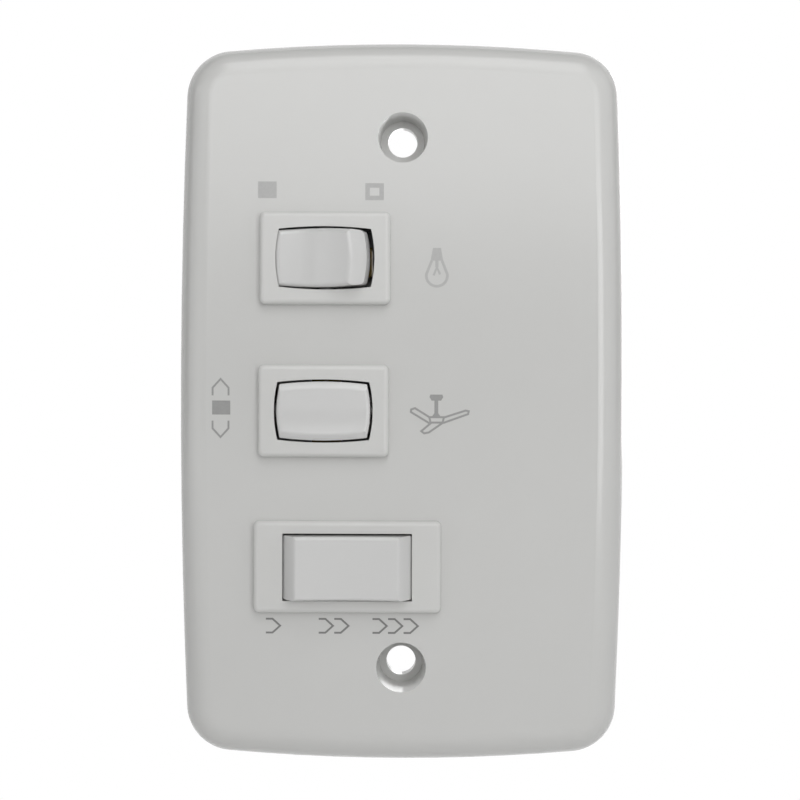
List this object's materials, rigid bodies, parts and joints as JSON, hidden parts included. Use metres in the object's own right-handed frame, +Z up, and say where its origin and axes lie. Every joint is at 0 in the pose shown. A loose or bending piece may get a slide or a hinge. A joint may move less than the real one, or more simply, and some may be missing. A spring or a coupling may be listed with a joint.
{
  "type": "fan speed control switch",
  "caption": "Wall plate control for a ceiling fan with snap-in rocker switches for the lamp, the turning direction and the speed, and a capacitor behind.",
  "frame": {"origin": "on the wall plane, midway between the two fixing holes", "axes": "+Z up along the line of the fixing holes, -Y out of the wall towards the user, +X to the user's right"},
  "size_m": [0.0706, 0.0397, 0.1138],
  "materials": {
    "plate_plastic": "glossy white moulded ABS",
    "switch_plastic": "satin-gloss white moulded nylon",
    "rocker_plastic": "glossy white moulded polycarbonate",
    "spring_steel": "drawn spring steel wire",
    "terminal_brass": "stamped brass strip",
    "contact_silver": "headed silver rivet",
    "capacitor_plastic": "black moulded plastic",
    "potting_resin": "poured black resin",
    "terminal_tin": "tinned strip"
  },
  "bodies": {
    "plate": {"wall_plate": "plate_plastic", "light_housing": "switch_plastic", "light_fixed_contact": "contact_silver", "light_common_terminal": "terminal_brass", "light_load_terminal": "terminal_brass", "direction_housing": "switch_plastic", "direction_fixed_contacts": "contact_silver", "direction_common_terminal": "terminal_brass", "direction_up_terminal": "terminal_brass", "direction_down_terminal": "terminal_brass", "speed_housing": "switch_plastic", "speed_fixed_contacts": "contact_silver", "speed_upper_common_terminal": "terminal_brass", "speed_upper_right_terminal": "terminal_brass", "speed_upper_left_terminal": "terminal_brass", "speed_lower_common_terminal": "terminal_brass", "speed_lower_right_terminal": "terminal_brass", "speed_lower_left_terminal": "terminal_brass", "capacitor_case": "capacitor_plastic", "capacitor_potting": "potting_resin", "capacitor_terminals": "terminal_tin"},
    "light_rocker_body": {"light_rocker": "rocker_plastic", "light_spring": "spring_steel"},
    "light_plunger_body": {"light_plunger": "terminal_brass"},
    "light_lever_body": {"light_contact_lever": "terminal_brass", "light_moving_contact": "contact_silver"},
    "direction_rocker_body": {"direction_rocker": "rocker_plastic", "direction_spring": "spring_steel"},
    "direction_plunger_body": {"direction_plunger": "terminal_brass"},
    "direction_lever_body": {"direction_contact_lever": "terminal_brass", "direction_moving_contacts": "contact_silver"},
    "speed_rocker_body": {"speed_rocker": "rocker_plastic", "speed_upper_spring": "spring_steel", "speed_lower_spring": "spring_steel"},
    "speed_upper_plunger_body": {"speed_upper_plunger": "terminal_brass"},
    "speed_upper_lever_body": {"speed_upper_contact_lever": "terminal_brass", "speed_upper_moving_contacts": "contact_silver"},
    "speed_lower_plunger_body": {"speed_lower_plunger": "terminal_brass"},
    "speed_lower_lever_body": {"speed_lower_contact_lever": "terminal_brass", "speed_lower_moving_contacts": "contact_silver"}
  },
  "joints": [
    {"name": "light_rocker_tilt", "type": "hinge", "parent": "plate", "child": "light_rocker_body", "pos_m": [-0.0121, -0.005, 0.0227], "axis": [0, 0, 1], "range_deg": [0, 28]},
    {"name": "light_plunger_travel", "type": "slide", "parent": "light_rocker_body", "child": "light_plunger_body", "axis": [-0.2419, -0.9703, 0], "range_m": [0, 0.0005], "stiffness_N_per_m": 600, "springref_m": -0.001, "deforming": ["light_spring"]},
    {"name": "light_contact_tilt", "type": "hinge", "parent": "plate", "child": "light_lever_body", "pos_m": [-0.0121, 0.00022, 0.0227], "axis": [0, 0, 1], "range_deg": [-16, 0]},
    {"name": "direction_rocker_tilt", "type": "hinge", "parent": "plate", "child": "direction_rocker_body", "pos_m": [-0.0123, -0.005, -0.0012], "axis": [-1, 0, 0], "range_deg": [-10, 10]},
    {"name": "direction_plunger_travel", "type": "slide", "parent": "direction_rocker_body", "child": "direction_plunger_body", "axis": [0, -1, 0], "range_m": [0, 0.0005], "stiffness_N_per_m": 600, "springref_m": -0.001, "deforming": ["direction_spring"]},
    {"name": "direction_contact_tilt", "type": "hinge", "parent": "plate", "child": "direction_lever_body", "pos_m": [-0.0123, 0.00022, -0.0012], "axis": [-1, 0, 0], "range_deg": [-6, 6]},
    {"name": "speed_rocker_tilt", "type": "hinge", "parent": "plate", "child": "speed_rocker_body", "pos_m": [-0.0085, -0.005, -0.0257], "axis": [0, 0, 1], "range_deg": [-14, 14]},
    {"name": "speed_upper_plunger_travel", "type": "slide", "parent": "speed_rocker_body", "child": "speed_upper_plunger_body", "axis": [0, -1, 0], "range_m": [0, 0.0005], "stiffness_N_per_m": 600, "springref_m": -0.001, "deforming": ["speed_upper_spring"]},
    {"name": "speed_upper_contact_tilt", "type": "hinge", "parent": "plate", "child": "speed_upper_lever_body", "pos_m": [-0.0085, 0.00022, -0.0227], "axis": [0, 0, 1], "range_deg": [-8, 8]},
    {"name": "speed_lower_plunger_travel", "type": "slide", "parent": "speed_rocker_body", "child": "speed_lower_plunger_body", "axis": [0, -1, 0], "range_m": [0, 0.0005], "stiffness_N_per_m": 600, "springref_m": -0.001, "deforming": ["speed_lower_spring"]},
    {"name": "speed_lower_contact_tilt", "type": "hinge", "parent": "plate", "child": "speed_lower_lever_body", "pos_m": [-0.0085, 0.00022, -0.0287], "axis": [0, 0, 1], "range_deg": [-8, 8]}
  ],
  "couplings": [
    {"joint": "light_contact_tilt", "follows": "light_rocker_tilt", "ratio": -0.57143},
    {"joint": "direction_contact_tilt", "follows": "direction_rocker_tilt", "ratio": -0.6},
    {"joint": "speed_upper_contact_tilt", "follows": "speed_rocker_tilt", "ratio": -0.57143},
    {"joint": "speed_lower_contact_tilt", "follows": "speed_rocker_tilt", "ratio": -0.57143}
  ]
}
